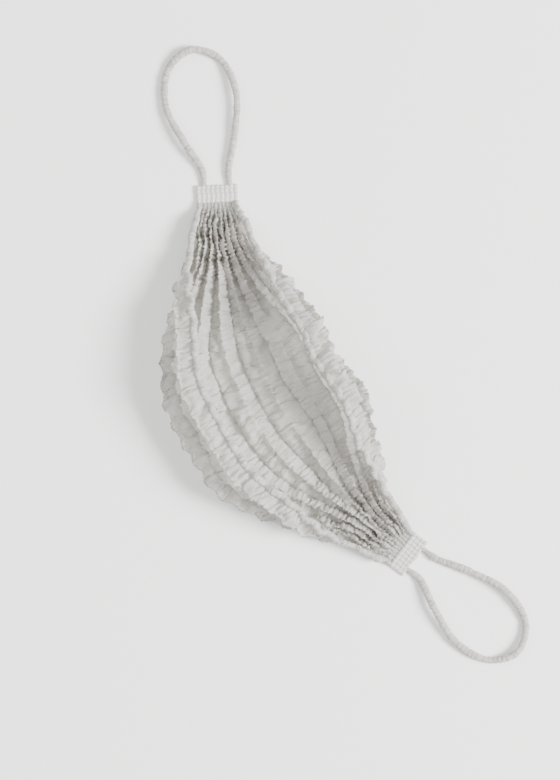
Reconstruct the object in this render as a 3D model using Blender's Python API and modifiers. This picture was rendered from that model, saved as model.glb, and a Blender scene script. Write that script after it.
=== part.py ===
"""Disposable beard cover of pleated nonwoven, lying half open on a flat surface.

One web of spunbond cloth is folded lengthwise into narrow pleats. Both long edges are hems gathered
on elastic, both ends are pressed into a weld, and a gathered elastic ear loop leaves each weld.
The ends stay closed as a bundle of ridges, and the middle has sprung open as a pouch for the chin.

The strip lies along an arc in plan. Each point of the cloth is given by how far along the strip it is,
from -1 at the left weld to 1 at the right one, and by its fold line, counted from the throat hem.
A place on the strip's cross-section is a pair of lengths: across it towards the lip hem, and up.
"""

import math

import bmesh
import bpy
from mathutils import Matrix, Vector

MM = 0.001

# The relaxed strip
STRIP_LENGTH = 250 * MM
STRIP_BEND_RADIUS = 290 * MM
BUNDLE_WIDTH = 33 * MM
BUNDLE_RIDGE_HEIGHT = 9.5 * MM
BUNDLE_SHARE = 0.13
OPENING_SHARE = 0.70
CLOTH_WALL = 1.0 * MM

# The open pouch
MOUTH_WIDTH = 76 * MM
LIP_HEIGHT = 40 * MM
THROAT_HEIGHT = 34 * MM
LIP_BELLY_WIDTH = 54 * MM
THROAT_BELLY_WIDTH = 65 * MM
POUCH_RIDGE_HEIGHT = 9.0 * MM
BULGE_TOP_SHARE = 0.85
BULGE_FOOT_SHARE = 0.92
CURL_LEAD = 2.2

# Soft dents where the wall has slumped. "round" runs from 0 at the throat hem to 1 at the lip hem.
DENTS = (
    {"along": -0.30, "round": 0.14, "reach": 0.17, "width": 0.16, "depth": 5.0 * MM},
    {"along": 0.12, "round": 0.06, "reach": 0.20, "width": 0.20, "depth": 4.0 * MM},
    {"along": 0.36, "round": 0.24, "reach": 0.14, "width": 0.12, "depth": 4.0 * MM},
    {"along": -0.10, "round": 0.92, "reach": 0.16, "width": 0.18, "depth": 6.0 * MM},
    {"along": 0.28, "round": 0.86, "reach": 0.15, "width": 0.16, "depth": -3.5 * MM},
)

# Pleats and gathers
PLEATS = 9
COLUMNS = 84
EDGE_RIDGE_SHARE = 0.5
MOST_FOLD_ALLOWANCE = 2.2
GATHER_PITCH = 11 * MM
GATHER_DEPTH = 1.3 * MM
GATHER_TURN_PER_FOLD = 2.3
GATHER_CENTRE_SHARE = 0.45
GATHER_BUNDLE_SHARE = 0.8

# Gathered elastic
HEM_DIAMETER = 4.4 * MM
LOOP_DIAMETER = 4.0 * MM
ELASTIC_END_DIAMETER = 2.6 * MM
ELASTIC_TAPER_LENGTH = 12 * MM
CRIMP_WAIST = 0.80
TUBE_RESOLUTION = 2

# Pressed end weld
WELD_LENGTH = 10 * MM
WELD_WIDTH = 26 * MM
WELD_THICKNESS = 2.6 * MM
WELD_EDGE_RADIUS = 0.5 * MM
WELD_GROOVES = 3
WELD_GROOVE_RADIUS = 0.6 * MM
WELD_GROOVE_DEPTH = 0.35 * MM
WELD_END_RIDGE_HEIGHT = 0.8 * MM
WELD_PINCH_LENGTH = 20 * MM

# Ear loops
LOOP_REACH = 84 * MM
LOOP_WIDTH = 44 * MM
LOOP_POINTS = 56
LOOP_LIFT = 3.0 * MM
LOOP_SWING = {"left": math.radians(7), "right": math.radians(-4)}

# "out" is a share of the reach, "across" of half the width, and "lift" of the greatest lift.
LOOP_ROUTE = (
    {"out": 0.00, "across": -0.36, "lift": 0.0},
    {"out": 0.12, "across": -0.38, "lift": 0.0},
    {"out": 0.34, "across": -0.72, "lift": 1.0},
    {"out": 0.62, "across": -1.00, "lift": 0.3},
    {"out": 0.88, "across": -0.78, "lift": 0.0},
    {"out": 1.00, "across": -0.05, "lift": 0.6},
    {"out": 0.90, "across": 0.72, "lift": 0.0},
    {"out": 0.64, "across": 1.00, "lift": 0.8},
    {"out": 0.36, "across": 0.74, "lift": 0.4},
    {"out": 0.12, "across": 0.38, "lift": 0.0},
    {"out": 0.00, "across": 0.36, "lift": 0.0},
)

SEAM_GAP = 0.3 * MM

FOLDS = 2 * PLEATS
PROFILE_SAMPLES = 48
SIDES = {"left": -1, "right": 1}


def clear_scene():
    for obj in list(bpy.data.objects):
        bpy.data.objects.remove(obj)


def mix(start, end, share):
    return start + (end - start) * share


def smooth(share):
    share = min(max(share, 0.0), 1.0)
    return share * share * (3.0 - 2.0 * share)


def openness(along):
    """0 where the strip is still a closed bundle, 1 where the pouch is fully open."""
    return smooth((1.0 - BUNDLE_SHARE - abs(along)) / OPENING_SHARE)


def weld_pinch(along):
    """0 at a weld, 1 where the weld no longer squeezes the bundle."""
    return smooth((1.0 - abs(along)) * STRIP_LENGTH / 2 / WELD_PINCH_LENGTH)


def strip_frame(along):
    """Centre of the strip in plan, and the direction across it towards the lip hem."""
    turn = along * STRIP_LENGTH / 2 / STRIP_BEND_RADIUS
    centre = Vector((math.sin(turn), 1.0 - math.cos(turn), 0.0)) * STRIP_BEND_RADIUS
    return centre, Vector((-math.sin(turn), math.cos(turn), 0.0))


def elastic_radius(length_to_weld, diameter):
    """The sleeve narrows towards the weld that it is pressed into."""
    share = smooth(length_to_weld / ELASTIC_TAPER_LENGTH)
    return mix(ELASTIC_END_DIAMETER, diameter, share) / 2


def side_curve(belly_width, hem_height, floor):
    """Control points (across, up) of one side of the open pouch, from its hem down and in to the centre."""
    bulge = 4 / 3 * belly_width - MOUTH_WIDTH / 6
    return (
        Vector((MOUTH_WIDTH / 2, hem_height)),
        Vector((bulge, hem_height * BULGE_TOP_SHARE)),
        Vector((bulge * BULGE_FOOT_SHARE, floor)),
        Vector((0.0, floor)),
    )


def bezier(controls, share):
    a, b, c, d = controls
    rest = 1.0 - share
    start = a * rest**3 + b * 3 * rest**2 * share
    return start + c * 3 * rest * share**2 + d * share**3


def open_profile():
    """Evenly spaced points (across, up) of the open pouch, one for each fold line from the throat hem."""
    floor = POUCH_RIDGE_HEIGHT / 2 + CLOTH_WALL
    throat = side_curve(THROAT_BELLY_WIDTH, THROAT_HEIGHT, floor)
    lip = side_curve(LIP_BELLY_WIDTH, LIP_HEIGHT, floor)
    shares = [i / PROFILE_SAMPLES for i in range(PROFILE_SAMPLES + 1)]
    points = [bezier(throat, share) for share in shares]
    points = [Vector((-point.x, point.y)) for point in points]
    points += [bezier(lip, share) for share in reversed(shares[:-1])]
    lengths = [0.0]
    for a, b in zip(points, points[1:]):
        lengths.append(lengths[-1] + (b - a).length)
    found = []
    k = 0
    for fold in range(FOLDS + 1):
        wanted = lengths[-1] * fold / FOLDS
        while k < len(points) - 2 and lengths[k + 1] < wanted:
            k += 1
        share = (wanted - lengths[k]) / (lengths[k + 1] - lengths[k])
        found.append(mix(points[k], points[k + 1], share))
    return found


OPEN_PROFILE = open_profile()


def ridge_height(along):
    """How far the ridges stand between their inner and outer folds."""
    closed = mix(WELD_END_RIDGE_HEIGHT, BUNDLE_RIDGE_HEIGHT, weld_pinch(along))
    return mix(closed, POUCH_RIDGE_HEIGHT, openness(along))


def mid_line(along):
    """The cross-section's mid-line, a point for each fold line, from the flat closed bundle to the open pouch.

    Each step from one fold line to the next grows and turns with the opening, so the edges curl up and in,
    and the turn leads, so the mouth stays narrow while the belly fills.
    """
    share = openness(along)
    turned = 1 - (1 - share) ** CURL_LEAD
    pinch = weld_pinch(along)
    half_width = mix(WELD_WIDTH / 2 - ELASTIC_END_DIAMETER - SEAM_GAP, BUNDLE_WIDTH / 2, pinch)
    height = mix(WELD_END_RIDGE_HEIGHT, BUNDLE_RIDGE_HEIGHT, pinch) / 2 + CLOTH_WALL
    steps = []
    for a, b in zip(OPEN_PROFILE, OPEN_PROFILE[1:]):
        length = mix(2 * half_width / FOLDS, (b - a).length, share)
        turn = math.atan2(b.y - a.y, b.x - a.x) * turned
        steps.append(Vector((math.cos(turn), math.sin(turn))) * length)
    points = [mix(Vector((0.0, height)), OPEN_PROFILE[PLEATS], share)]
    for step in steps[PLEATS:]:
        points.append(points[-1] + step)
    for step in reversed(steps[:PLEATS]):
        points.insert(0, points[0] - step)
    return points


def ridge_side(fold):
    """1 for a fold that points out of the pouch or down, -1 for one that points in or up."""
    side = 1 if fold % 2 else -1
    return side * EDGE_RIDGE_SHARE if fold in (0, FOLDS) else side


def gather(along, fold):
    """Small cross wrinkles that the elastic draws up, strongest at the hems and in the bundles."""
    near_hem = abs(2 * fold / FOLDS - 1) ** 2
    opened = mix(GATHER_CENTRE_SHARE, 1.0, near_hem)
    depth = GATHER_DEPTH * mix(GATHER_BUNDLE_SHARE, opened, openness(along)) * weld_pinch(along)
    turn = along * STRIP_LENGTH / 2 / GATHER_PITCH * 2 * math.pi
    return depth * math.sin(turn + GATHER_TURN_PER_FOLD * fold)


def slump(along, fold):
    """How far the soft dents push the wall in."""
    total = 0.0
    for dent in DENTS:
        away = (along - dent["along"]) / dent["reach"]
        around = (fold / FOLDS - dent["round"]) / dent["width"]
        total += dent["depth"] * math.exp(-(away**2) - around**2)
    return total


def cloth_line(along):
    """The places of all fold lines at a share of the strip's length, from the throat hem to the lip hem."""
    middle = mid_line(along)
    centre, across = strip_frame(along)
    line = []
    for fold, point in enumerate(middle):
        tangent = middle[min(fold + 1, FOLDS)] - middle[max(fold - 1, 0)]
        outward = Vector((tangent.y, -tangent.x)).normalized()
        offset = ridge_side(fold) * ridge_height(along) / 2
        offset += gather(along, fold) - slump(along, fold) * openness(along)
        place = point + outward * offset
        line.append(centre + across * place.x + Vector((0.0, 0.0, place.y)))
    return line


def material(name, colour, roughness):
    made = bpy.data.materials.new(name)
    made.use_nodes = True
    shader = made.node_tree.nodes["Principled BSDF"]
    shader.inputs["Base Color"].default_value = (*colour, 1.0)
    shader.inputs["Roughness"].default_value = roughness
    return made


def new_object(name, data, collection, finish):
    obj = bpy.data.objects.new(name, data)
    collection.objects.link(obj)
    data.materials.append(finish)
    return obj


def apply_modifiers(obj):
    graph = bpy.context.evaluated_depsgraph_get()
    mesh = bpy.data.meshes.new_from_object(obj.evaluated_get(graph))
    mesh.name = obj.name
    obj.modifiers.clear()
    obj.data = mesh


def fold_allowance(vert):
    """How much further a point moves along its normal, so that walls that meet at a fold stay as thick."""
    slope = min(vert.normal.dot(face.normal) for face in vert.link_faces)
    return 1 / max(slope, 1 / MOST_FOLD_ALLOWANCE)


def make_pouch(name, lines, collection, finish):
    """The cloth: a grid with a row on each fold line, moved to its place and given its wall."""
    grid = bmesh.new()
    bmesh.ops.create_grid(grid, x_segments=COLUMNS, y_segments=FOLDS, size=1.0)
    for vert in grid.verts:
        column = round((vert.co.x + 1) / 2 * COLUMNS)
        vert.co = lines[column][round((vert.co.y + 1) / 2 * FOLDS)]
    bmesh.ops.recalc_face_normals(grid, faces=grid.faces)
    grid.normal_update()
    allowances = [fold_allowance(vert) for vert in grid.verts]
    mesh = bpy.data.meshes.new(name)
    grid.to_mesh(mesh)
    grid.free()
    pouch = new_object(name, mesh, collection, finish)
    thickness = pouch.vertex_groups.new(name="thickness")
    for i, allowance in enumerate(allowances):
        thickness.add([i], allowance / MOST_FOLD_ALLOWANCE, "REPLACE")
    wall = pouch.modifiers.new("wall", "SOLIDIFY")
    wall.thickness = CLOTH_WALL * MOST_FOLD_ALLOWANCE
    wall.vertex_group = thickness.name
    wall.offset = 0.0
    apply_modifiers(pouch)
    for vert in pouch.data.vertices:
        vert.co.z = max(vert.co.z, 0.0)


def elastic_tube(name, path, radii, collection, finish):
    """A gathered elastic sleeve: a tube along the path whose every other ring is drawn in."""
    curve = bpy.data.curves.new(name, "CURVE")
    curve.dimensions = "3D"
    curve.bevel_depth = 1.0
    curve.bevel_resolution = TUBE_RESOLUTION
    curve.use_fill_caps = True
    spline = curve.splines.new("POLY")
    spline.points.add(len(path) - 1)
    for i, (point, place, radius) in enumerate(zip(spline.points, path, radii)):
        point.co = (*place, 1.0)
        drawn_in = i % 2 and 0 < i < len(path) - 1
        point.radius = radius * (CRIMP_WAIST if drawn_in else 1.0)
    new_object(name, curve, collection, finish)


def make_hem(name, lines, edge_fold, next_fold, collection, finish):
    """A hem rides on the cloth's cut edge, in line with the last pleat."""
    path = []
    radii = []
    for column, line in enumerate(lines):
        to_weld = min(column, COLUMNS - column) / COLUMNS * STRIP_LENGTH
        radius = elastic_radius(to_weld, HEM_DIAMETER)
        run = lines[min(column + 1, COLUMNS)][edge_fold] - lines[max(column - 1, 0)][edge_fold]
        outward = line[edge_fold] - line[next_fold]
        outward = (outward - outward.project(run)).normalized()
        centre = line[edge_fold] + outward * (radius + SEAM_GAP)
        centre.z = max(centre.z, radius)
        path.append(centre)
        radii.append(radius)
    elastic_tube(name, path, radii, collection, finish)


def weld_place(side):
    """Centre of the foot of the weld's inner face, and the weld's direction out."""
    centre, across = strip_frame(side)
    out = Vector((across.y, -across.x, 0.0)) * side
    return centre + out * SEAM_GAP, out


def make_weld(name, side, collection, finish):
    """A pressed tab, flat below."""
    foot, out = weld_place(side)
    block = bmesh.new()
    bmesh.ops.create_cube(block, size=1.0)
    size = Vector((WELD_LENGTH, WELD_WIDTH, WELD_THICKNESS))
    bmesh.ops.scale(block, vec=size, verts=block.verts)
    mesh = bpy.data.meshes.new(name)
    block.to_mesh(mesh)
    block.free()
    weld = new_object(name, mesh, collection, finish)
    weld.location = foot + out * WELD_LENGTH / 2 + Vector((0.0, 0.0, WELD_THICKNESS / 2))
    weld.rotation_euler.z = math.atan2(out.y, out.x)
    bevel = weld.modifiers.new("edges", "BEVEL")
    bevel.width = WELD_EDGE_RADIUS
    bevel.segments = 2
    return weld


def cut_grooves(weld, cutters):
    """Cuts the grooves that the press leaves across the top of a weld."""
    for i in range(WELD_GROOVES):
        groove = bmesh.new()
        bmesh.ops.create_cone(
            groove,
            cap_ends=True,
            segments=12,
            radius1=WELD_GROOVE_RADIUS,
            radius2=WELD_GROOVE_RADIUS,
            depth=WELD_WIDTH * 1.2,
        )
        mesh = bpy.data.meshes.new("groove")
        groove.to_mesh(mesh)
        groove.free()
        cutter = bpy.data.objects.new(f"{weld.name}_groove_{i + 1}", mesh)
        cutters.objects.link(cutter)
        cutter.parent = weld
        cutter.rotation_euler.x = math.pi / 2
        along = ((i + 1) / (WELD_GROOVES + 1) - 0.5) * WELD_LENGTH
        up = WELD_THICKNESS / 2 + WELD_GROOVE_RADIUS - WELD_GROOVE_DEPTH
        cutter.location = (along, 0.0, up)
        cutter.hide_render = True
        cutter.display_type = "WIRE"
        cut = weld.modifiers.new("groove", "BOOLEAN")
        cut.operation = "DIFFERENCE"
        cut.object = cutter


def catmull_rom(points, share):
    """A point on the smooth curve through the given points, for a share from 0 to 1."""
    place = share * (len(points) - 1)
    i = min(int(place), len(points) - 2)
    t = place - i
    before = points[max(i - 1, 0)]
    start, end = points[i], points[i + 1]
    after = points[min(i + 2, len(points) - 1)]
    bend = (before * 2 - start * 5 + end * 4 - after) * t**2
    turn = (start * 3 - before - end * 3 + after) * t**3
    return (start * 2 + (end - before) * t + bend + turn) / 2


def loop_path(word):
    """Points of an ear loop from the weld's outer face round and back, with their heights as lifts."""
    side = SIDES[word]
    foot, out = weld_place(side)
    across = Vector((-out.y, out.x, 0.0)) * side
    start = foot + out * (WELD_LENGTH + SEAM_GAP)
    route = []
    for row in LOOP_ROUTE:
        place = out * row["out"] * LOOP_REACH + across * row["across"] * LOOP_WIDTH / 2
        place.rotate(Matrix.Rotation(LOOP_SWING[word] * smooth(row["out"] * 2), 3, "Z"))
        place.z = row["lift"] * LOOP_LIFT
        route.append(start + place)
    return [catmull_rom(route, i / LOOP_POINTS) for i in range(LOOP_POINTS + 1)]


def make_loop(word, collection, finish):
    """An ear loop that lies on the surface."""
    path = loop_path(word)
    lengths = [0.0]
    for a, b in zip(path, path[1:]):
        lengths.append(lengths[-1] + (b - a).length)
    radii = []
    for point, length in zip(path, lengths):
        radius = elastic_radius(min(length, lengths[-1] - length), LOOP_DIAMETER)
        point.z = radius + max(point.z, 0.0)
        radii.append(radius)
    elastic_tube(f"ear_loop_{word}", path, radii, collection, finish)


def centre_on_origin(collection):
    """Moves the cover so that the origin is under the middle of its overall box."""
    graph = bpy.context.evaluated_depsgraph_get()
    corners = [
        obj.evaluated_get(graph).matrix_world @ Vector(corner)
        for obj in collection.objects
        for corner in obj.evaluated_get(graph).bound_box
    ]
    lowest = Vector(min(corner[axis] for corner in corners) for axis in range(3))
    highest = Vector(max(corner[axis] for corner in corners) for axis in range(3))
    middle = (lowest + highest) / 2
    for obj in collection.objects:
        obj.location -= Vector((middle.x, middle.y, 0.0))


def main():
    clear_scene()
    parts = bpy.data.collections.new("beard_cover")
    cutters = bpy.data.collections.new("cutters")
    bpy.context.scene.collection.children.link(parts)
    bpy.context.scene.collection.children.link(cutters)

    nonwoven = material("white_spunbond", (0.80, 0.79, 0.77), 0.85)
    gathered = material("gathered_elastic", (0.76, 0.75, 0.73), 0.90)
    pressed = material("pressed_weld", (0.84, 0.84, 0.83), 0.45)

    lines = [cloth_line(2 * column / COLUMNS - 1) for column in range(COLUMNS + 1)]
    make_pouch("pleated_pouch", lines, parts, nonwoven)
    make_hem("throat_hem", lines, 0, 1, parts, gathered)
    make_hem("lip_hem", lines, FOLDS, FOLDS - 1, parts, gathered)
    for word, side in SIDES.items():
        weld = make_weld(f"end_weld_{word}", side, parts, pressed)
        cut_grooves(weld, cutters)
        make_loop(word, parts, gathered)
    centre_on_origin(parts)


main()
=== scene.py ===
"""A disposable beard cover of pleated white spunbond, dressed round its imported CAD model.

The pleated web, its gathered hems, its pressed end tabs and its ear loops are rebuilt finely on the same
arc and cross-section that the CAD model has, the web is crumpled by a short cloth simulation, and each
piece gets the finish of its real material. All lengths are in metres in the CAD model's frame.
"""

import logging
import math
from dataclasses import dataclass, field
from enum import Enum

import bmesh
import bpy
import numpy as np
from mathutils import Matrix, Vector


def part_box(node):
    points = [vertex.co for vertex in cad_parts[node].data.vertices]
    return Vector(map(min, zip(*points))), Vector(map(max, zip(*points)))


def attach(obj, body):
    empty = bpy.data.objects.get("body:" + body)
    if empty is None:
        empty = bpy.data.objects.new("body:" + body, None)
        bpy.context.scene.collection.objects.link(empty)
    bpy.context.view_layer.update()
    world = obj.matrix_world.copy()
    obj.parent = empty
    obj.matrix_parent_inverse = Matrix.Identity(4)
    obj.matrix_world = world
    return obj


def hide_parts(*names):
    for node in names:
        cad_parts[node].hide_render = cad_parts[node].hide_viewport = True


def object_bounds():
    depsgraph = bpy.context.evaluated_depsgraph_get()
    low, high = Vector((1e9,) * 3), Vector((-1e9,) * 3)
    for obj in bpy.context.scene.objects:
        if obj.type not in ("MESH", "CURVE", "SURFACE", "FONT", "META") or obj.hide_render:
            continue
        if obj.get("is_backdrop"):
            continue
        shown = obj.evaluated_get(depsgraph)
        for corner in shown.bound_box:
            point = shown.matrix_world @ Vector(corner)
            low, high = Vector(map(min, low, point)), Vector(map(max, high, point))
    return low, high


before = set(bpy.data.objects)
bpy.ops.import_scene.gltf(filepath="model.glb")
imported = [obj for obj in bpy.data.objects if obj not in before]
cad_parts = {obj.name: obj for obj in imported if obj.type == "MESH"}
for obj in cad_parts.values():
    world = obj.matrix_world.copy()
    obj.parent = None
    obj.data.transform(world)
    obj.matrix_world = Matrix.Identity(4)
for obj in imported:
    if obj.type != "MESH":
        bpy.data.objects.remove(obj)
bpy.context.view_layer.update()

MM = 0.001
BODY = "root"
TURN = 2.0 * math.pi
REST_GAP = 0.1 * MM
HEM_SEED_STEP = 3

logging.basicConfig(level=logging.INFO, format="%(message)s")
log = logging.getLogger("beard_cover")


class Side(Enum):
    """The two ends of the strip, with the sign of X that each lies on."""

    LEFT = -1
    RIGHT = 1

    @property
    def word(self) -> str:
        """The end's name as the nodes use it."""
        return self.name.lower()


class HemEdge(Enum):
    """The two long edges of the web, with their node's name and their place among the web's rows."""

    THROAT = ("throat_hem", 0)
    LIP = ("lip_hem", -1)

    @property
    def node(self) -> str:
        """The CAD node that stands for this hem."""
        return self.value[0]

    @property
    def row(self) -> int:
        """The web's row that the hem is folded round, counted as Python counts."""
        return self.value[1]


# Small sums


def mix(
    start: float | np.ndarray, end: float | np.ndarray, share: float | np.ndarray
) -> float | np.ndarray:
    """A value between start and end. Works on numbers and on arrays.

    Args:
        start: The value at share 0.
        end: The value at share 1.
        share: How far to go.

    Returns:
        The value in between.
    """
    return start + (end - start) * share


def smooth(share: float | np.ndarray) -> float | np.ndarray:
    """A soft step from 0 to 1 as share goes from 0 to 1."""
    share = np.clip(share, 0.0, 1.0)
    return share * share * (3.0 - 2.0 * share)


def unit(vectors: np.ndarray) -> np.ndarray:
    """The vectors, each at length 1."""
    return vectors / np.maximum(np.linalg.norm(vectors, axis=-1, keepdims=True), 1e-12)


def linear_colour(code: str) -> tuple[float, float, float, float]:
    """An sRGB colour in linear light.

    Args:
        code: The colour as "#RRGGBB".

    Returns:
        Linear red, green and blue, and an alpha of 1.
    """
    parts = [int(code[i : i + 2], 16) / 255 for i in (1, 3, 5)]
    linear = [part / 12.92 if part <= 0.04045 else ((part + 0.055) / 1.055) ** 2.4 for part in parts]
    return (*linear, 1.0)


def drift(places: np.ndarray, length: float, seed: int) -> np.ndarray:
    """Smooth chance values from -1 to 1 along a line, the same in each run.

    The values are dealt out from the smallest place on, so they change with where the places start.

    Args:
        places: Where along the line the values are wanted.
        length: The distance over which the value wanders.
        seed: Which set of chance values to use.

    Returns:
        One value for each place.
    """
    steps = places / length
    first = math.floor(float(steps.min())) - 1
    count = math.ceil(float(steps.max())) - first + 2
    knots = np.random.default_rng(seed).uniform(-1.0, 1.0, count)
    index = np.floor(steps).astype(int)
    return mix(knots[index - first], knots[index - first + 1], smooth(steps - index))


@dataclass(frozen=True)
class Wander:
    """A smooth chance value that wanders along a line by up to its amount."""

    length: float
    amount: float
    seed: int

    def at(self, places: np.ndarray, more_seed: int = 0) -> np.ndarray:
        """The value at each place. more_seed picks another set of chance values."""
        return drift(places, self.length, self.seed + more_seed) * self.amount


def row_lengths(points: np.ndarray) -> np.ndarray:
    """The length so far at each point of a line of points."""
    steps = np.linalg.norm(np.diff(points, axis=0), axis=-1)
    return np.concatenate([[0.0], np.cumsum(steps)])


# Meshes


def grid_mesh(name: str, points: np.ndarray, layout: np.ndarray, closed: bool = False) -> bpy.types.Object:
    """A smooth mesh of four-sided faces over a grid of points.

    Args:
        name: The object's name.
        points: Places, as columns by rows by 3.
        layout: The place of each point on the flat cloth in metres, as columns by rows by 2.
        closed: Whether the last row joins the first one, as round a tube, whose ends are then capped.

    Returns:
        The object, linked to the scene.
    """
    columns, rows = points.shape[:2]
    index = np.arange(columns * rows).reshape(columns, rows)
    turns = rows if closed else rows - 1
    here = np.arange(turns)
    beside = (here + 1) % rows
    faces = np.stack(
        [index[:-1][:, here], index[1:][:, here], index[1:][:, beside], index[:-1][:, beside]], axis=-1
    ).reshape(-1, 4)
    polygons = faces.tolist()
    if closed:
        polygons += [index[0].tolist(), index[-1][::-1].tolist()]
    mesh = bpy.data.meshes.new(name)
    mesh.from_pydata(points.reshape(-1, 3).tolist(), [], polygons)
    if closed:
        face_outward(mesh)
    mesh.shade_smooth()
    chart = mesh.uv_layers.new(name="cloth")
    corners = np.empty(len(mesh.loops), dtype=np.int32)
    mesh.loops.foreach_get("vertex_index", corners)
    chart.data.foreach_set("uv", layout.reshape(-1, 2)[corners].astype(np.float32).reshape(-1))
    made = bpy.data.objects.new(name, mesh)
    bpy.context.scene.collection.objects.link(made)
    return made


def face_outward(mesh: bpy.types.Mesh) -> None:
    """Turns the faces of a closed mesh outward."""
    shape = bmesh.new()
    shape.from_mesh(mesh)
    bmesh.ops.recalc_face_normals(shape, faces=shape.faces)
    shape.to_mesh(mesh)
    shape.free()


def finer(points: np.ndarray, pieces: int) -> np.ndarray:
    """Adds points along the first axis of a line or sheet, on smooth curves through the old ones.

    Args:
        points: The points, with the axis to refine first.
        pieces: How many steps each old step becomes.

    Returns:
        The refined points.
    """
    before = np.concatenate([points[:1], points[:-2]])
    start, end = points[:-1], points[1:]
    after = np.concatenate([points[2:], points[-1:]])
    found = []
    for i in range(pieces):
        t = i / pieces
        bend = (before * 2 - start * 5 + end * 4 - after) * t**2
        turn = (start * 3 - before - end * 3 + after) * t**3
        found.append((start * 2 + (end - before) * t + bend + turn) / 2)
    stacked = np.stack(found, axis=1).reshape(-1, *points.shape[1:])
    return np.concatenate([stacked, points[-1:]])


# Finishes


def add_node(
    tree: bpy.types.NodeTree, kind: str, settings: dict | None = None, **links: object
) -> bpy.types.Node:
    """Adds a node with its settings, its sockets' values and its links.

    Args:
        tree: The material's node tree.
        kind: The node's type, as Blender names it.
        settings: Properties of the node itself.
        links: For each input, with _ for a blank in its name, either a value or the socket to link from.
            A name that starts with "at" and a number is the input with that number.

    Returns:
        The node.
    """
    node = tree.nodes.new(kind)
    for name, value in (settings or {}).items():
        setattr(node, name, value)
    for name, value in links.items():
        socket = node.inputs[int(name[2:]) if name.startswith("at") else name.replace("_", " ")]
        if isinstance(value, bpy.types.NodeSocket):
            tree.links.new(value, socket)
        else:
            socket.default_value = value
    return node


def empty_material(name: str) -> tuple[bpy.types.Material, bpy.types.NodeTree]:
    """A new material and its node tree, which has no nodes yet."""
    made = bpy.data.materials.new(name)
    made.use_nodes = True
    made.node_tree.nodes.clear()
    return made, made.node_tree


def cloth_surface(
    tree: bpy.types.NodeTree,
    finish: "SpunbondCloth | GatheredSleeve",
    colour: bpy.types.NodeSocket,
    normal: bpy.types.NodeSocket,
) -> None:
    """Ends a cloth's tree with a dull, faintly fuzzy face that lets part of the light through.

    Args:
        tree: The material's node tree.
        finish: The finish, for its roughness, its sheen and the light it lets through.
        colour: The face's colour.
        normal: The face's bumps.
    """
    dull = add_node(
        tree, "ShaderNodeBsdfPrincipled", Base_Color=colour, Normal=normal,
        Roughness=finish.roughness, IOR=1.49, Sheen_Weight=finish.sheen, Sheen_Roughness=0.5,
    )
    through = add_node(
        tree, "ShaderNodeBsdfTranslucent", Color=linear_colour(finish.glow_colour), Normal=normal
    )
    both = add_node(
        tree, "ShaderNodeMixShader", at0=finish.see_through,
        at1=dull.outputs["BSDF"], at2=through.outputs["BSDF"],
    )
    add_node(tree, "ShaderNodeOutputMaterial", Surface=both.outputs["Shader"])


@dataclass(frozen=True)
class SpunbondCloth:
    """Spunbond polypropylene, fine fibres laid at random and bonded at small pressed points.

    It gives the eye a dull, slightly uneven white with a fine pitted grain, and light comes softly through.
    """

    name: str = "white_spunbond"
    thick_colour: str = "#D1CECA"
    thin_colour: str = "#C1BEB9"
    glow_colour: str = "#F0EEE9"
    point_pitch: float = 2.1 * MM
    point_depth: float = 0.16 * MM
    cloud_size: float = 9.0 * MM
    fibre_size: float = 0.55 * MM
    fibre_depth: float = 0.09 * MM
    crepe_size: float = 1.5 * MM
    crepe_depth: float = 0.42 * MM
    roughness: float = 0.82
    sheen: float = 0.15
    see_through: float = 0.45

    def build(self) -> bpy.types.Material:
        """Makes the material. The bond points are drawn at near twice their real pitch, so that they show.

        Returns:
            The material.
        """
        made, tree = empty_material(self.name)
        chart = add_node(tree, "ShaderNodeUVMap", {"uv_map": "cloth"}).outputs["UV"]
        clouds = add_node(tree, "ShaderNodeTexNoise", Vector=chart, Scale=1 / self.cloud_size, Detail=4.0)
        colour = add_node(
            tree, "ShaderNodeMix", {"data_type": "RGBA"},
            at0=add_node(
                tree, "ShaderNodeMapRange", Value=clouds.outputs["Fac"], From_Min=0.36, From_Max=0.64,
            ).outputs["Result"],
            at6=linear_colour(self.thin_colour), at7=linear_colour(self.thick_colour),
        )
        diamond = add_node(
            tree, "ShaderNodeMapping",
            Vector=chart, Rotation=(0.0, 0.0, math.radians(45)), Scale=(1.0, 0.8, 1.0),
        )
        points = add_node(
            tree, "ShaderNodeTexVoronoi", Vector=diamond.outputs["Vector"],
            Scale=1 / self.point_pitch, Randomness=0.12,
        )
        pit = add_node(
            tree, "ShaderNodeMapRange", {"interpolation_type": "SMOOTHSTEP"},
            Value=points.outputs["Distance"], From_Min=0.14, From_Max=0.34,
        )
        fibres = add_node(
            tree, "ShaderNodeTexNoise", Vector=chart, Scale=1 / self.fibre_size, Detail=3.0, Distortion=1.4
        )
        crepe = add_node(
            tree, "ShaderNodeTexNoise",
            Vector=add_node(
                tree, "ShaderNodeMapping", Vector=chart, Scale=(1.0, 0.28, 1.0)
            ).outputs["Vector"],
            Scale=1 / self.crepe_size, Detail=2.0,
        )
        normal = None
        for depth, height in (
            (self.crepe_depth, crepe.outputs["Fac"]),
            (self.fibre_depth, fibres.outputs["Fac"]),
            (self.point_depth, pit.outputs["Result"]),
        ):
            bump = add_node(tree, "ShaderNodeBump", Strength=1.0, Distance=depth, Height=height)
            if normal is not None:
                tree.links.new(normal, bump.inputs["Normal"])
            normal = bump.outputs["Normal"]
        shade = add_node(
            tree, "ShaderNodeMix", {"data_type": "RGBA", "blend_type": "MULTIPLY"},
            at0=1.0,
            at6=colour.outputs[2],
            at7=add_node(
                tree, "ShaderNodeMapRange", Value=pit.outputs["Result"], To_Min=0.93, To_Max=1.0
            ).outputs["Result"],
        )
        cloth_surface(tree, self, shade.outputs[2], normal)
        return made


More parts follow.
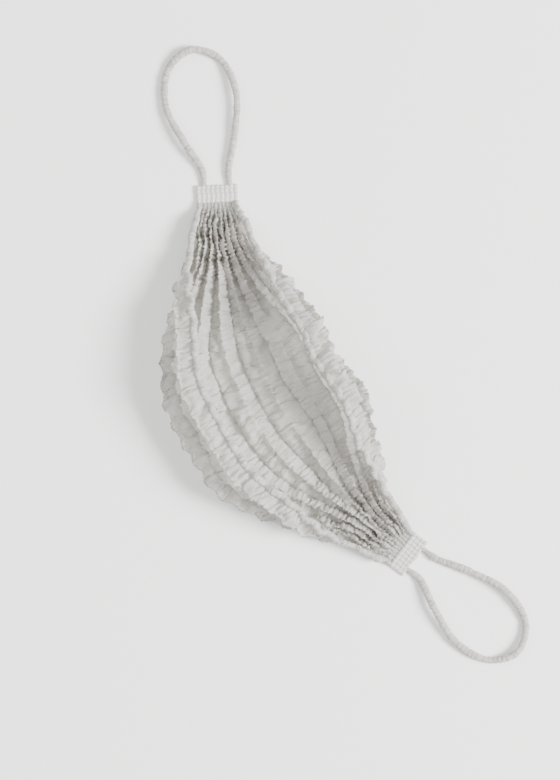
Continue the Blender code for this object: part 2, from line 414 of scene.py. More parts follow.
@dataclass(frozen=True)
class GatheredSleeve:
    """Spunbond folded over thin elastic and drawn up into close crinkles.

    It gives the eye a denser, duller white than the flat cloth, with painted shade darker down in the
    crinkles.
    """

    name: str = "gathered_elastic"
    crest_colour: str = "#C4C1BC"
    # Painted shade: the darker colour laid into the crinkle hollows.
    hollow_colour: str = "#A29E97"
    crinkle_pitch: float = 1.3 * MM
    crinkle_depth: float = 0.30 * MM
    point_pitch: float = 1.7 * MM
    point_depth: float = 0.13 * MM
    fibre_size: float = 0.45 * MM
    fibre_depth: float = 0.08 * MM
    glow_colour: str = "#E2DFDB"
    see_through: float = 0.22
    roughness: float = 0.88
    sheen: float = 0.2

    def build(self) -> bpy.types.Material:
        """Makes the material. The crinkles run round the sleeve, and noise bends and breaks them.

        Returns:
            The material.
        """
        made, tree = empty_material(self.name)
        chart = add_node(tree, "ShaderNodeUVMap", {"uv_map": "cloth"}).outputs["UV"]
        crinkles = add_node(
            tree, "ShaderNodeTexNoise",
            Vector=add_node(
                tree, "ShaderNodeMapping", Vector=chart, Scale=(1.0, 0.22, 1.0)
            ).outputs["Vector"],
            Scale=1 / self.crinkle_pitch, Detail=2.0, Distortion=0.5,
        )
        fibres = add_node(tree, "ShaderNodeTexNoise", Vector=chart, Scale=1 / self.fibre_size, Detail=3.0)
        # Painted shade: the same crinkle noise that raises the crinkles darkens their hollows toward the
        # shade colour.
        colour = add_node(
            tree, "ShaderNodeMix", {"data_type": "RGBA"},
            at0=add_node(
                tree, "ShaderNodeMapRange", Value=crinkles.outputs["Fac"], From_Min=0.32, From_Max=0.60
            ).outputs["Result"],
            at6=linear_colour(self.hollow_colour), at7=linear_colour(self.crest_colour),
        )
        coarse = add_node(
            tree, "ShaderNodeBump", Strength=1.0, Distance=self.crinkle_depth, Height=crinkles.outputs["Fac"]
        )
        fine = add_node(
            tree, "ShaderNodeBump", Strength=1.0, Distance=self.fibre_depth,
            Height=fibres.outputs["Fac"], Normal=coarse.outputs["Normal"],
        )
        points = add_node(
            tree, "ShaderNodeTexVoronoi", Vector=chart, Scale=1 / self.point_pitch, Randomness=0.3
        )
        pitted = add_node(
            tree, "ShaderNodeBump", Strength=1.0, Distance=self.point_depth,
            Height=add_node(
                tree, "ShaderNodeMapRange", {"interpolation_type": "SMOOTHSTEP"},
                Value=points.outputs["Distance"], From_Min=0.14, From_Max=0.36,
            ).outputs["Result"],
            Normal=fine.outputs["Normal"],
        )
        cloth_surface(tree, self, colour.outputs[2], pitted.outputs["Normal"])
        return made


@dataclass(frozen=True)
class PressedWeld:
    """Spunbond melted together between heated bars with a crosshatched face.

    It gives the eye a denser, smoother white with a satin gloss, clearer where the bars pressed hardest.
    """

    name: str = "pressed_weld"
    open_colour: str = "#D3D1CE"
    melted_colour: str = "#C3C1BE"
    bar_pitch: float = 1.5 * MM
    bar_depth: float = 0.14 * MM
    smear_size: float = 2.5 * MM
    smear_depth: float = 0.10 * MM
    roughness: float = 0.38

    def build(self) -> bpy.types.Material:
        """Makes the material, with the bars' small diamonds standing between pressed lines.

        Returns:
            The material.
        """
        made, tree = empty_material(self.name)
        chart = add_node(tree, "ShaderNodeUVMap", {"uv_map": "cloth"}).outputs["UV"]
        diamonds = add_node(
            tree, "ShaderNodeTexVoronoi", {"distance": "MANHATTAN"},
            Vector=chart, Scale=1 / self.bar_pitch, Randomness=0.04,
        )
        melted = add_node(
            tree, "ShaderNodeMapRange", {"interpolation_type": "SMOOTHSTEP"},
            Value=diamonds.outputs["Distance"], From_Min=0.30, From_Max=0.52,
        )
        smear = add_node(tree, "ShaderNodeTexNoise", Vector=chart, Scale=1 / self.smear_size, Detail=3.0)
        colour = add_node(
            tree, "ShaderNodeMix", {"data_type": "RGBA"}, at0=melted.outputs["Result"],
            at6=linear_colour(self.open_colour), at7=linear_colour(self.melted_colour),
        )
        rise = add_node(
            tree, "ShaderNodeBump", {"invert": True}, Strength=1.0, Distance=self.bar_depth,
            Height=melted.outputs["Result"],
        )
        uneven = add_node(
            tree, "ShaderNodeBump", Strength=1.0, Distance=self.smear_depth,
            Height=smear.outputs["Fac"], Normal=rise.outputs["Normal"],
        )
        gloss = add_node(
            tree, "ShaderNodeMapRange", Value=smear.outputs["Fac"],
            To_Min=self.roughness - 0.08, To_Max=self.roughness + 0.20,
        )
        satin = add_node(
            tree, "ShaderNodeBsdfPrincipled", Base_Color=colour.outputs[2], Normal=uneven.outputs["Normal"],
            Roughness=gloss.outputs["Result"], IOR=1.49,
        )
        add_node(tree, "ShaderNodeOutputMaterial", Surface=satin.outputs["BSDF"])
        return made


@dataclass(frozen=True)
class PaintedBoard:
    """Matt painted board under the cover, which gives the eye an even pale ground with a faint grain."""

    name: str = "painted_board"
    colour: str = "#F7F7F6"
    grain_size: float = 3.0 * MM
    roughness: float = 0.7

    def build(self) -> bpy.types.Material:
        """Makes the material.

        Returns:
            The material.
        """
        made, tree = empty_material(self.name)
        place = add_node(tree, "ShaderNodeTexCoord").outputs["Object"]
        grain = add_node(tree, "ShaderNodeTexNoise", Vector=place, Scale=1 / self.grain_size, Detail=2.0)
        bump = add_node(tree, "ShaderNodeBump", Strength=0.1, Distance=0.1 * MM, Height=grain.outputs["Fac"])
        matt = add_node(
            tree, "ShaderNodeBsdfPrincipled", Base_Color=linear_colour(self.colour),
            Normal=bump.outputs["Normal"], Roughness=self.roughness,
        )
        add_node(tree, "ShaderNodeOutputMaterial", Surface=matt.outputs["BSDF"])
        return made


# The strip's course and cross-section, as in the CAD model


@dataclass(frozen=True)
class Dent:
    """A soft dent where the wall has slumped. round runs from 0 at the throat hem to 1 at the lip hem."""

    along: float
    round: float
    reach: float
    width: float
    depth: float


@dataclass(frozen=True)
class Strip:
    """Where each point of the web lies, by its share along the strip and its fold line.

    along runs from -1 at the left weld to 1 at the right one. Folds are counted from the throat hem.
    """

    length: float = 250 * MM
    bend_radius: float = 290 * MM
    bundle_width: float = 33 * MM
    bundle_ridge: float = 9.5 * MM
    bundle_share: float = 0.13
    opening_share: float = 0.70
    wall: float = 1.0 * MM
    mouth_width: float = 76 * MM
    lip_height: float = 40 * MM
    throat_height: float = 34 * MM
    lip_belly: float = 54 * MM
    throat_belly: float = 65 * MM
    pouch_ridge: float = 9.0 * MM
    bulge_top: float = 0.85
    bulge_foot: float = 0.92
    curl_lead: float = 2.2
    pleats: int = 9
    edge_ridge_share: float = 0.5
    gather_pitch: float = 11 * MM
    gather_depth: float = 1.3 * MM
    gather_turn: float = 2.3
    gather_centre: float = 0.45
    gather_bundle: float = 0.8
    weld_width: float = 26 * MM
    weld_end_ridge: float = 0.8 * MM
    weld_pinch_length: float = 20 * MM
    elastic_end: float = 2.6 * MM
    seam_gap: float = 0.3 * MM
    profile_samples: int = 48
    dents: tuple[Dent, ...] = (
        Dent(-0.30, 0.14, 0.17, 0.16, 5.0 * MM),
        Dent(0.12, 0.06, 0.20, 0.20, 4.0 * MM),
        Dent(0.36, 0.24, 0.14, 0.12, 4.0 * MM),
        Dent(-0.10, 0.92, 0.16, 0.18, 6.0 * MM),
        Dent(0.28, 0.86, 0.15, 0.16, -3.5 * MM),
    )

    @property
    def folds(self) -> int:
        """The number of panels between fold lines."""
        return 2 * self.pleats

    def openness(self, along: float) -> float:
        """0 where the strip is still a closed bundle, 1 where the pouch is fully open."""
        return float(smooth((1.0 - self.bundle_share - abs(along)) / self.opening_share))

    def weld_pinch(self, along: float) -> float:
        """0 at a weld, 1 where the weld no longer squeezes the bundle."""
        return float(smooth((1.0 - abs(along)) * self.length / 2 / self.weld_pinch_length))

    def frame_at(self, along: float) -> tuple[np.ndarray, np.ndarray]:
        """The strip's centre in plan, before the CAD model was centred, and the way to the lip hem."""
        turn = along * self.length / 2 / self.bend_radius
        centre = np.array([math.sin(turn), 1.0 - math.cos(turn), 0.0]) * self.bend_radius
        return centre, np.array([-math.sin(turn), math.cos(turn), 0.0])

    def end_frame(self, side: Side) -> tuple[np.ndarray, np.ndarray, np.ndarray]:
        """The strip's centre at one end, the way across to the lip hem and the way out past the end."""
        centre, across = self.frame_at(side.value)
        return centre, across, np.array([across[1], -across[0], 0.0]) * side.value

    def side_curve(self, belly: float, height: float, floor: float) -> np.ndarray:
        """Control points of one side of the open pouch, from its hem down and in to the centre."""
        bulge = 4 / 3 * belly - self.mouth_width / 6
        return np.array(
            [
                [self.mouth_width / 2, height],
                [bulge, height * self.bulge_top],
                [bulge * self.bulge_foot, floor],
                [0.0, floor],
            ]
        )

    def open_profile(self) -> np.ndarray:
        """Evenly spaced points (across, up) of the open pouch, one for each fold line.

        Returns:
            The points, as fold lines by 2.
        """
        floor = self.pouch_ridge / 2 + self.wall
        shares = np.linspace(0.0, 1.0, self.profile_samples + 1)[:, None]
        weights = (
            (1 - shares) ** 3, 3 * (1 - shares) ** 2 * shares, 3 * (1 - shares) * shares**2, shares**3,
        )
        sides = []
        for belly, height in ((self.throat_belly, self.throat_height), (self.lip_belly, self.lip_height)):
            controls = self.side_curve(belly, height, floor)
            sides.append(sum(weight * control for weight, control in zip(weights, controls)))
        throat = sides[0] * np.array([-1.0, 1.0])
        points = np.concatenate([throat, sides[1][:-1][::-1]])
        lengths = row_lengths(points)
        wanted = np.linspace(0.0, lengths[-1], self.folds + 1)
        return np.stack([np.interp(wanted, lengths, points[:, axis]) for axis in (0, 1)], axis=1)

    def ridge_height(self, along: float) -> float:
        """How far the ridges stand between their inner and outer folds."""
        closed = mix(self.weld_end_ridge, self.bundle_ridge, self.weld_pinch(along))
        return mix(closed, self.pouch_ridge, self.openness(along))

    def mid_line(self, along: float, profile: np.ndarray) -> np.ndarray:
        """The cross-section's mid-line, from the flat closed bundle to the open pouch.

        Args:
            along: The share along the strip.
            profile: The fully open profile.

        Returns:
            A point (across, up) for each fold line.
        """
        share = self.openness(along)
        turned = 1 - (1 - share) ** self.curl_lead
        pinch = self.weld_pinch(along)
        weld_half = self.weld_width / 2 - self.elastic_end - self.seam_gap
        half_width = mix(weld_half, self.bundle_width / 2, pinch)
        height = mix(self.weld_end_ridge, self.bundle_ridge, pinch) / 2 + self.wall
        open_steps = np.diff(profile, axis=0)
        lengths = mix(2 * half_width / self.folds, np.linalg.norm(open_steps, axis=1), share)
        turns = np.arctan2(open_steps[:, 1], open_steps[:, 0]) * turned
        steps = np.stack([np.cos(turns), np.sin(turns)], axis=1) * lengths[:, None]
        run = np.concatenate([np.zeros((1, 2)), np.cumsum(steps, axis=0)])
        middle = mix(np.array([0.0, height]), profile[self.pleats], share)
        return run - run[self.pleats] + middle

    def gather(self, along: float, folds: np.ndarray) -> np.ndarray:
        """The coarse cross wrinkles that the elastic draws up, strongest at the hems and in the bundles."""
        near_hem = np.abs(2 * folds / self.folds - 1) ** 2
        opened = mix(self.gather_centre, 1.0, near_hem)
        strength = mix(self.gather_bundle, opened, self.openness(along)) * self.weld_pinch(along)
        turn = along * self.length / 2 / self.gather_pitch * TURN
        return self.gather_depth * strength * np.sin(turn + self.gather_turn * folds)

    def slump(self, along: float, folds: np.ndarray) -> np.ndarray:
        """How far the soft dents push the wall in."""
        total = np.zeros(len(folds))
        for dent in self.dents:
            away = (along - dent.along) / dent.reach
            around = (folds / self.folds - dent.round) / dent.width
            total += dent.depth * np.exp(-(away**2) - around**2)
        return total

    def line(self, along: float, profile: np.ndarray, shift: np.ndarray) -> np.ndarray:
        """The places of all fold lines at a share of the strip's length.

        Args:
            along: The share along the strip.
            profile: The fully open profile.
            shift: How far the CAD model was moved to centre it.

        Returns:
            A place for each fold line, from the throat hem to the lip hem.
        """
        folds = np.arange(self.folds + 1)
        middle = self.mid_line(along, profile)
        tangent = middle[np.minimum(folds + 1, self.folds)] - middle[np.maximum(folds - 1, 0)]
        outward = unit(np.stack([tangent[:, 1], -tangent[:, 0]], axis=1))
        side = np.where(folds % 2 == 1, 1.0, -1.0)
        side[[0, -1]] *= self.edge_ridge_share
        offset = side * self.ridge_height(along) / 2 + self.gather(along, folds)
        offset -= self.slump(along, folds) * self.openness(along)
        place = middle + outward * offset[:, None]
        centre, across = self.frame_at(along)
        up = np.array([0.0, 0.0, 1.0])
        return centre + shift + place[:, :1] * across + place[:, 1:] * up


# The pieces


def dress_piece(piece: bpy.types.Object, finish: bpy.types.Material) -> None:
    """Gives a piece its finish and its body."""
    piece.data.materials.append(finish)
    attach(piece, BODY)


@dataclass
class PleatedPouch:
    """The web of spunbond: pleated lengthwise, crumpled by a simulation, crimped by the elastic."""

    strip: Strip
    columns: int = 320
    rows_a_panel: int = 4
    sim_scale: float = 10.0
    sim_frames: int = 25
    sim_seed: int = 3
    sim_jitter: float = 0.2 * MM
    held_end_columns: int = 3
    hem_growth: float = 0.48
    middle_growth: float = 0.26
    hem_growth_rows: float = 6.0
    fold_hold: float = 0.55
    panel_hold: float = 0.04
    fold_softness: float = 0.35
    bundle_crimp_pitch: float = 2.4 * MM
    bundle_crimp_depth: float = 0.50 * MM
    pouch_crimp_pitch: float = 3.4 * MM
    pouch_crimp_depth: float = 0.36 * MM
    hem_crimp_depth: float = 0.70 * MM
    hem_crimp_fade: float = 5.0
    crimp_wander: Wander = Wander(14 * MM, 3.0, 11)
    strip_wander: Wander = Wander(40 * MM, 4.0, 12)
    crimp_swell: Wander = Wander(9 * MM, 0.35, 13)
    mean_swell: float = 0.65
    wander_slant_mm: float = 0.7
    swell_slant_mm: float = 1.1
    row_turn: float = 0.10
    side_crimp_share: float = 0.35
    side_crimp_rate: float = 1.87
    side_crimp_turn: float = 1.3
    flat_length: float = 0.457
    flat_width: float = 0.24
    piece: bpy.types.Object | None = None
    final: np.ndarray = field(default_factory=lambda: np.zeros((0, 0, 3)))

    def rest_points(self, shift: np.ndarray) -> np.ndarray:
        """The web before it is crumpled.

        Args:
            shift: How far the CAD model was moved to centre it.

        Returns:
            Places, as columns by rows by 3.
        """
        profile = self.strip.open_profile()
        shares = np.linspace(-1.0, 1.0, self.columns + 1)
        folds = np.stack([self.strip.line(share, profile, shift) for share in shares])
        rows = np.arange(self.strip.folds * self.rows_a_panel + 1)
        first = np.minimum(rows // self.rows_a_panel, self.strip.folds - 1)
        share = (rows / self.rows_a_panel - first)[None, :, None]
        return mix(folds[:, first], folds[:, first + 1], share)

    def crumple(self, points: np.ndarray) -> np.ndarray:
        """Lets the cloth grow longer than the strip, most at the hems, so that it buckles into gathers.

        Args:
            points: The web before it is crumpled.

        Returns:
            The web after Blender's cloth simulation.
        """
        columns, rows = points.shape[:2]
        chance = np.random.default_rng(self.sim_seed).normal(0.0, self.sim_jitter, points.shape)
        sheet = grid_mesh("crumpling_web", points * self.sim_scale + chance, points[..., :2])
        hold = sheet.vertex_groups.new(name="hold")
        grow = sheet.vertex_groups.new(name="grow")
        for column in range(columns):
            for row in range(rows):
                to_hem = min(row, rows - 1 - row)
                held = to_hem == 0 or min(column, columns - 1 - column) < self.held_end_columns
                on_fold = row % self.rows_a_panel == 0
                weight = 1.0 if held else self.fold_hold if on_fold else self.panel_hold
                hold.add([column * rows + row], weight, "REPLACE")
                grow.add([column * rows + row], math.exp(-to_hem / self.hem_growth_rows), "REPLACE")
        cloth = sheet.modifiers.new("crumple", "CLOTH")
        settings = cloth.settings
        settings.quality = 6
        settings.mass = 0.3
        settings.air_damping = 5
        settings.tension_stiffness = 40
        settings.compression_stiffness = 40
        settings.shear_stiffness = 15
        settings.bending_stiffness = 0.4
        settings.vertex_group_mass = hold.name
        settings.pin_stiffness = 1.0
        settings.vertex_group_shrink = grow.name
        settings.shrink_min = -self.middle_growth
        settings.shrink_max = -self.hem_growth
        settings.effector_weights.gravity = 0
        cloth.collision_settings.use_collision = False
        cloth.collision_settings.use_self_collision = False
        cloth.point_cache.frame_start = 1
        cloth.point_cache.frame_end = self.sim_frames
        for step in range(1, self.sim_frames + 1):
            bpy.context.scene.frame_set(step)
        graph = bpy.context.evaluated_depsgraph_get()
        result = sheet.evaluated_get(graph).to_mesh()
        places = np.empty(len(result.vertices) * 3)
        result.vertices.foreach_get("co", places)
        bpy.data.objects.remove(sheet)
        bpy.context.scene.frame_set(1)
        return places.reshape(points.shape) / self.sim_scale

    def refine(self, points: np.ndarray) -> np.ndarray:
        """Doubles the grid both ways, with smooth panels between softly creased fold lines.

        Args:
            points: The crumpled web.

        Returns:
            The web with twice as many steps.
        """
        points = finer(points, 2)
        turned = points.swapaxes(0, 1)
        panels = []
        for panel in range(self.strip.folds):
            start = panel * self.rows_a_panel
            part = finer(turned[start : start + self.rows_a_panel + 1], 2)
            panels.append(part[:-1] if panel < self.strip.folds - 1 else part)
        creased = np.concatenate(panels)
        return mix(creased, finer(turned, 2), self.fold_softness).swapaxes(0, 1)

    def crimp(self, points: np.ndarray) -> np.ndarray:
        """Adds the close cross crimps that run like rungs over the ridges.

        Their chance pattern leans from row to row, and jumps at the rows where drift starts a knot later.
        The slants are multiplied row first, because a last digit decides which row that is.

        Args:
            points: The refined web.

        Returns:
            The web with its crimps.
        """
        columns, rows = points.shape[:2]
        along = np.linspace(0.0, self.strip.length, columns)
        shares = np.linspace(-1.0, 1.0, columns)
        run = np.gradient(points, axis=0)
        rise = np.gradient(points, axis=1)
        normal = unit(np.cross(run, rise))
        opened = np.array([self.strip.openness(share) for share in shares])
        pinch = np.array([self.strip.weld_pinch(share) for share in shares])
        pitch = mix(self.bundle_crimp_pitch, self.pouch_crimp_pitch, opened)
        rungs = np.cumsum(self.strip.length / (columns - 1) / pitch) * TURN
        crimped = points.copy()
        for row in range(rows):
            to_hem = min(row, rows - 1 - row) / (rows - 1) * 2
            near_hem = math.exp(-to_hem * self.hem_crimp_fade)
            wander = self.crimp_wander.at(along + row * self.wander_slant_mm * MM)
            wander += self.strip_wander.at(along)
            swell = self.mean_swell + self.crimp_swell.at(along + row * self.swell_slant_mm * MM)
            in_pouch = mix(self.pouch_crimp_depth, self.hem_crimp_depth, near_hem)
            depth = mix(self.bundle_crimp_depth, in_pouch, opened) * pinch * swell
            turn = rungs + wander + row * self.row_turn
            side_turn = turn * self.side_crimp_rate + self.side_crimp_turn
            lift = depth * (np.sin(turn) + self.side_crimp_share * np.sin(side_turn))
            crimped[:, row] += normal[:, row] * lift[:, None]
        return crimped

    def build(self, shift: np.ndarray) -> bpy.types.Object:
        """Makes the piece.

        Args:
            shift: How far the CAD model was moved to centre it.

        Returns:
            The piece, without its finish.
        """
        points = self.crimp(self.refine(self.crumple(self.rest_points(shift))))
        points[..., 2] = np.maximum(points[..., 2], REST_GAP)
        self.final = points
        columns, rows = points.shape[:2]
        run = np.linspace(0.0, self.flat_length, columns)
        width = np.linspace(0.0, self.flat_width, rows)
        layout = np.stack(np.meshgrid(run, width, indexing="ij"), axis=-1)
        self.piece = grid_mesh("spunbond_pouch", points, layout)
        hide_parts("pleated_pouch")
        return self.piece

    def dress(self, finish: bpy.types.Material) -> None:
        """Dresses the piece as spunbond cloth."""
        dress_piece(self.piece, finish)


@dataclass
class CrinkledSleeve:
    """A sleeve of cloth drawn up on elastic: a tube whose skin is crinkled round and frilled along."""

    name: str
    node: str
    radius: float
    end_radius: float = 1.3 * MM
    taper: float = 12 * MM
    flatness: float = 0.82
    round_steps: int = 18
    step: float = 0.42 * MM
    crinkle_pitch: float = 2.7 * MM
    crinkle_share: float = 0.13
    crest_roundness: float = 0.6
    slant: float = 3.0 * MM
    lean: float = 0.5
    near_wander: Wander = Wander(5 * MM, 2.6, 0)
    side_wander: Wander = Wander(7 * MM, 2.2, 1)
    whole_wander: Wander = Wander(17 * MM, 3.0, 2)
    frill_share: float = 0.10
    frill: Wander = Wander(4.3 * MM, 1.0, 3)
    frill_slant: float = 9 * MM
    fine_frill: Wander = Wander(2.1 * MM, 1.0, 4)
    fine_frill_slant: float = 5 * MM
    seed: int = 21
    piece: bpy.types.Object | None = None

    def build(self, path: np.ndarray, up: np.ndarray) -> bpy.types.Object:
        """Makes the sleeve along a path.

        Args:
            path: The sleeve's centre line.
            up: For each point of the path, a direction that the sleeve's narrow side faces.

        Returns:
            The piece, without its finish.
        """
        lengths = row_lengths(path)
        count = int(lengths[-1] / self.step)
        along = np.linspace(0.0, lengths[-1], count)
        centre = np.stack([np.interp(along, lengths, path[:, axis]) for axis in range(3)], axis=1)
        above = np.stack([np.interp(along, lengths, up[:, axis]) for axis in range(3)], axis=1)
        run = unit(np.gradient(centre, axis=0))
        side = unit(np.cross(above, run))
        above = unit(np.cross(run, side))
        to_end = np.minimum(along, lengths[-1] - along)
        size = mix(self.end_radius, self.radius, smooth(to_end / self.taper))
        turns = np.arange(self.round_steps) / self.round_steps * TURN
        points = np.empty((count, self.round_steps, 3))
        for k, turn in enumerate(turns):
            across, round_top = math.cos(turn), math.sin(turn)
            wander = self.near_wander.at(along + self.slant * across, self.seed)
            wander += self.side_wander.at(along + self.slant * round_top, self.seed)
            wander += self.whole_wander.at(along, self.seed)
            phase = along / self.crinkle_pitch * TURN / 2 + wander + self.lean * round_top
            crest = 2 * np.abs(np.sin(phase)) ** self.crest_roundness - 1
            frill = self.frill.at(along + self.frill_slant * across, self.seed)
            frill += self.fine_frill.at(along + self.fine_frill_slant * round_top, self.seed)
            skin = size * (1 + self.crinkle_share * crest + self.frill_share * frill)
            points[:, k] = centre + side * (across * skin)[:, None]
            points[:, k] += above * (round_top * skin * self.flatness)[:, None]
        points[..., 2] = np.maximum(points[..., 2], REST_GAP)
        girth = turns * self.radius
        layout = np.stack(np.meshgrid(along, girth, indexing="ij"), axis=-1)
        self.piece = grid_mesh(self.name, points, layout, closed=True)
        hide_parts(self.node)
        return self.piece

    def dress(self, finish: bpy.types.Material) -> None:
        """Dresses the piece as gathered elastic."""
        dress_piece(self.piece, finish)


@dataclass
class GatheredHem:
    """A long edge of the web, folded over elastic and drawn up."""

    edge: HemEdge
    radius: float = 2.2 * MM
    overlap: float = 0.7 * MM
    lead_rows: int = 3
    smoothing: int = 9
    seed: int = 31
    sleeve: CrinkledSleeve | None = None

    def build(self, web: np.ndarray) -> bpy.types.Object:
        """Makes the sleeve on the web's edge, in line with the last pleat.

        Args:
            web: The finished web, as columns by rows by 3.

        Returns:
            The piece, without its finish.
        """
        row = self.edge.row
        inner = self.lead_rows if row == 0 else row - self.lead_rows
        edge = web[:, row]
        run = unit(np.gradient(edge, axis=0))
        outward = edge - web[:, inner]
        outward = unit(outward - run * np.sum(outward * run, axis=1, keepdims=True))
        centre = edge + outward * (self.radius - self.overlap)
        keep = np.ones(self.smoothing) / self.smoothing
        ends = self.smoothing // 2
        padded = np.pad(centre, ((ends, ends), (0, 0)), mode="edge")
        centre = np.stack([np.convolve(padded[:, axis], keep, mode="valid") for axis in range(3)], axis=1)
        node = self.edge.node
        self.sleeve = CrinkledSleeve(f"gathered_{node}", node, self.radius, seed=self.seed)
        return self.sleeve.build(centre, np.cross(run, outward))


@dataclass
class EarLoop:
    """A gathered elastic band that leaves a pressed tab, goes round and comes back."""

    side: Side
    strip: Strip
    swing: float
    reach: float = 84 * MM
    width: float = 44 * MM
    lift: float = 3.0 * MM
    radius: float = 2.0 * MM
    weld_length: float = 10 * MM
    tuck: float = 1.6 * MM
    route_pieces: int = 16
    seed: int = 41
    route: tuple[tuple[float, float, float], ...] = (
        (0.00, -0.36, 0.0),
        (0.12, -0.38, 0.0),
        (0.34, -0.72, 1.0),
        (0.62, -1.00, 0.3),
        (0.88, -0.78, 0.0),
        (1.00, -0.05, 0.6),
        (0.90, 0.72, 0.0),
        (0.64, 1.00, 0.8),
        (0.36, 0.74, 0.4),
        (0.12, 0.38, 0.0),
        (0.00, 0.36, 0.0),
    )
    sleeve: CrinkledSleeve | None = None

    def build(self, shift: np.ndarray) -> bpy.types.Object:
        """Makes the band along the CAD model's route, with its two ends tucked into the tab.

        Args:
            shift: How far the CAD model was moved to centre it.

        Returns:
            The piece, without its finish.
        """
        centre, _, out = self.strip.end_frame(self.side)
        sideways = np.array([-out[1], out[0], 0.0]) * self.side.value
        start = centre + shift + out * (self.weld_length + 2 * self.strip.seam_gap)
        places = []
        for forward, aside, raised in self.route:
            place = out * forward * self.reach + sideways * aside * self.width / 2
            turn = self.swing * float(smooth(forward * 2))
            turned = [
                place[0] * math.cos(turn) - place[1] * math.sin(turn),
                place[0] * math.sin(turn) + place[1] * math.cos(turn),
                raised * self.lift,
            ]
            places.append(start + np.array(turned))
        path = finer(np.array(places), self.route_pieces)
        lengths = row_lengths(path)
        to_end = np.minimum(lengths, lengths[-1] - lengths)
        size = mix(CrinkledSleeve.end_radius, self.radius, smooth(to_end / CrinkledSleeve.taper))
        path[:, 2] = size + np.maximum(path[:, 2], 0.0)
        path = np.concatenate([path[:1] - out * self.tuck, path, path[-1:] - out * self.tuck])
        up = np.tile(np.array([0.0, 0.0, 1.0]), (len(path), 1))
        word = self.side.word
        self.sleeve = CrinkledSleeve(f"elastic_loop_{word}", f"ear_loop_{word}", self.radius, seed=self.seed)
        return self.sleeve.build(path, up)


@dataclass
class PressedTab:
    """An end weld: the bundle, the hems and the ear loop melted together between pressing bars."""

    side: Side
    strip: Strip
    length: float = 10 * MM
    width: float = 26 * MM
    thickness: float = 2.6 * MM
    rim: float = 0.9 * MM
    rim_edge: float = 0.12 * MM
    grooves: int = 3
    groove_depth: float = 0.45 * MM
    groove_sharpness: int = 6
    groove_end_fade: float = 6.0
    groove_side_fade: float = 14.0
    pleat_ridge: float = 0.22 * MM
    ridge_in_groove: float = 0.2
    ridge_sway: float = 0.4
    ridge_sway_rate: float = 5.0
    edge_wave: Wander = Wander(3.5 * MM, 0.35 * MM, 51)
    floor_gap: float = 0.02 * MM
    lap: float = 0.9 * MM
    columns: int = 72
    rows: int = 156
    piece: bpy.types.Object | None = None

    def build(self) -> bpy.types.Object:
        """Makes the tab: a thin pillow, flat below, with grooves and the pleats' melted ridges above.

        Returns:
            The piece, without its finish.
        """
        node = f"end_weld_{self.side.word}"
        low, high = (np.array(corner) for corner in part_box(node))
        middle = (low + high) / 2
        _, across, out = self.strip.end_frame(self.side)
        u = np.linspace(-1.0, 1.0, self.columns)[:, None]
        v = np.linspace(-1.0, 1.0, self.rows)[None, :]
        to_rim = np.minimum((1 - np.abs(u)) * self.length / 2, (1 - np.abs(v)) * self.width / 2)
        rounded = np.sqrt(1 - (1 - np.clip(to_rim / self.rim, 0.0, 1.0)) ** 2)
        wave = np.cos((u + 1) / 2 * (self.grooves + 1) * TURN)
        groove = np.maximum(wave, 0.0) ** self.groove_sharpness
        groove = groove * smooth((1 - np.abs(u)) * self.groove_end_fade)
        groove = groove * smooth((1 - np.abs(v)) * self.groove_side_fade)
        sway = self.ridge_sway * np.sin(u * self.ridge_sway_rate)
        ridges = np.cos(v * self.strip.pleats * math.pi + sway) * mix(1.0, self.ridge_in_groove, groove)
        half = self.thickness / 2
        top = half + (half - self.pleat_ridge) * rounded
        top = top + (self.pleat_ridge * ridges - self.groove_depth * groove) * rounded
        base = mix(half - self.rim_edge, self.floor_gap, rounded)
        frayed = self.edge_wave.at(np.linspace(0, self.width, self.rows), self.side.value)[None, :]
        outer = np.where(u > 0, 1.0, 0.0)
        reach = u * (self.length / 2 + outer * frayed + (1 - outer) * self.lap)
        spread = v * self.width / 2 * np.ones_like(u)
        flat = middle[:2]
        faces = []
        for height in (top, base):
            points = np.zeros((self.columns, self.rows, 3))
            points[..., :2] = flat + reach[..., None] * out[:2] + spread[..., None] * across[:2]
            points[..., 2] = height
            faces.append(points)
        self.piece = self.closed_pillow(f"pressed_tab_{self.side.word}", faces[0], faces[1])
        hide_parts(node)
        return self.piece

    def closed_pillow(self, name: str, top: np.ndarray, base: np.ndarray) -> bpy.types.Object:
        """Joins two grids with the same outline into one closed mesh.

        Args:
            name: The object's name.
            top: The upper face's places.
            base: The lower face's places.

        Returns:
            The object.
        """
        ring = np.concatenate([top, base[:, ::-1]], axis=1)
        columns, rows = ring.shape[:2]
        run = np.linspace(0.0, self.length, columns)
        width = np.linspace(0.0, 2 * self.width, rows)
        layout = np.stack(np.meshgrid(run, width, indexing="ij"), axis=-1)
        return grid_mesh(name, ring[:: self.side.value], layout, closed=True)

    def dress(self, finish: bpy.types.Material) -> None:
        """Dresses the piece as pressed weld."""
        dress_piece(self.piece, finish)


# The studio


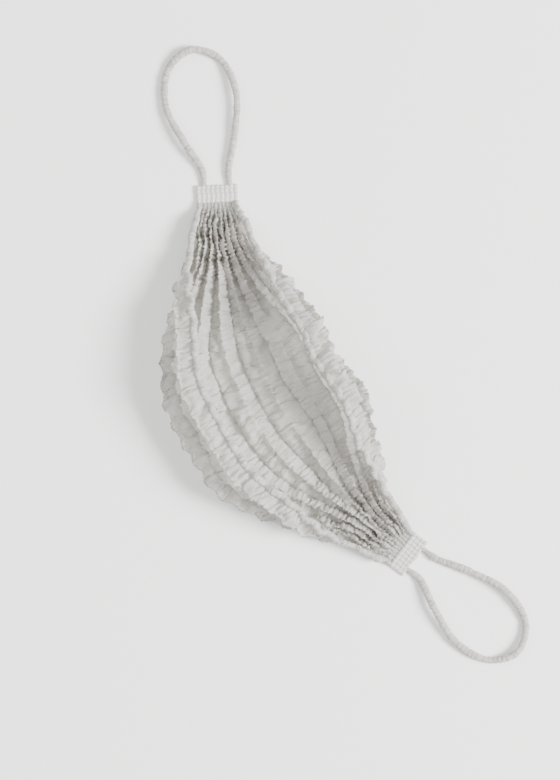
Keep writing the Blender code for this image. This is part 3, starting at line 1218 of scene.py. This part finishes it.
@dataclass(frozen=True)
class Studio:
    """A pale floor, soft light from one side, and a camera that looks straight down as in the photo."""

    floor_size: float = 6.0
    camera_height: float = 1.6
    camera_turn: float = math.radians(62)
    picture_width: float = 0.345
    sensor_width: float = 36.0
    key_place: tuple[float, float, float] = (1.4, 2.0, 1.9)
    key_size: float = 1.4
    key_energy: float = 310.0
    fill_place: tuple[float, float, float] = (-2.0, -1.4, 2.5)
    fill_size: float = 2.6
    fill_energy: float = 60.0
    sky: float = 1.05

    def light(self, name: str, place: tuple[float, float, float], size: float, energy: float) -> None:
        """Adds an area light that faces the cover."""
        lamp = bpy.data.lights.new(name, "AREA")
        lamp.shape = "DISK"
        lamp.size = size
        lamp.energy = energy
        made = bpy.data.objects.new(name, lamp)
        made.location = place
        made.rotation_euler = (-Vector(place)).to_track_quat("-Z", "Y").to_euler()
        bpy.context.scene.collection.objects.link(made)

    def build(self) -> None:
        """Makes the floor, the lights, the sky and the camera."""
        half = self.floor_size / 2
        corners = np.array([[[x, y, 0.0] for y in (-half, half)] for x in (-half, half)])
        floor = grid_mesh("studio_floor", corners, corners[..., :2])
        floor.data.materials.append(PaintedBoard().build())
        floor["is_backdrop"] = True
        self.light("key_light", self.key_place, self.key_size, self.key_energy)
        self.light("fill_light", self.fill_place, self.fill_size, self.fill_energy)
        world = bpy.data.worlds.new("studio_sky")
        world.use_nodes = True
        background = world.node_tree.nodes["Background"]
        background.inputs["Color"].default_value = linear_colour("#FFFFFF")
        background.inputs["Strength"].default_value = self.sky
        bpy.context.scene.world = world
        lens = bpy.data.cameras.new("camera")
        lens.sensor_fit = "HORIZONTAL"
        lens.sensor_width = self.sensor_width
        lens.lens = self.sensor_width * self.camera_height / self.picture_width
        camera = bpy.data.objects.new("camera", lens)
        low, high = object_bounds()
        camera.location = ((low[0] + high[0]) / 2, (low[1] + high[1]) / 2, self.camera_height)
        camera.rotation_euler = (0.0, 0.0, self.camera_turn)
        bpy.context.scene.collection.objects.link(camera)
        bpy.context.scene.camera = camera


def centring_shift(strip: Strip) -> np.ndarray:
    """How far the CAD model was moved to centre it, from where its end welds are.

    Args:
        strip: The strip's sizes.

    Returns:
        The shift in plan.
    """
    shifts = []
    for side in Side:
        low, high = (np.array(corner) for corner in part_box(f"end_weld_{side.word}"))
        centre, _, out = strip.end_frame(side)
        shifts.append((low + high) / 2 - centre - out * (strip.seam_gap + PressedTab.length / 2))
    return np.mean(shifts, axis=0) * np.array([1.0, 1.0, 0.0])


def report(piece: bpy.types.Object) -> None:
    """Logs a piece's name and how many faces it has."""
    log.info("%s: %d faces", piece.name, len(piece.data.polygons))


def main() -> None:
    """Builds, dresses and reports each piece in order."""
    strip = Strip()
    shift = centring_shift(strip)
    cloth = SpunbondCloth().build()
    sleeve_cloth = GatheredSleeve().build()
    melted = PressedWeld().build()
    for side in Side:
        tab = PressedTab(side, strip)
        report(tab.build())
        tab.dress(melted)
    pouch = PleatedPouch(strip)
    report(pouch.build(shift))
    pouch.dress(cloth)
    hems = []
    for place, edge in enumerate(HemEdge):
        hem = GatheredHem(edge, seed=GatheredHem.seed + HEM_SEED_STEP * place)
        hems.append(hem.build(pouch.final))
        report(hems[-1])
        hem.sleeve.dress(sleeve_cloth)
    for side, swing in ((Side.LEFT, math.radians(7)), (Side.RIGHT, math.radians(-4))):
        loop = EarLoop(side, strip, swing, seed=EarLoop.seed + side.value)
        report(loop.build(shift))
        loop.sleeve.dress(sleeve_cloth)
    Studio().build()


if __name__ == "__main__":
    main()
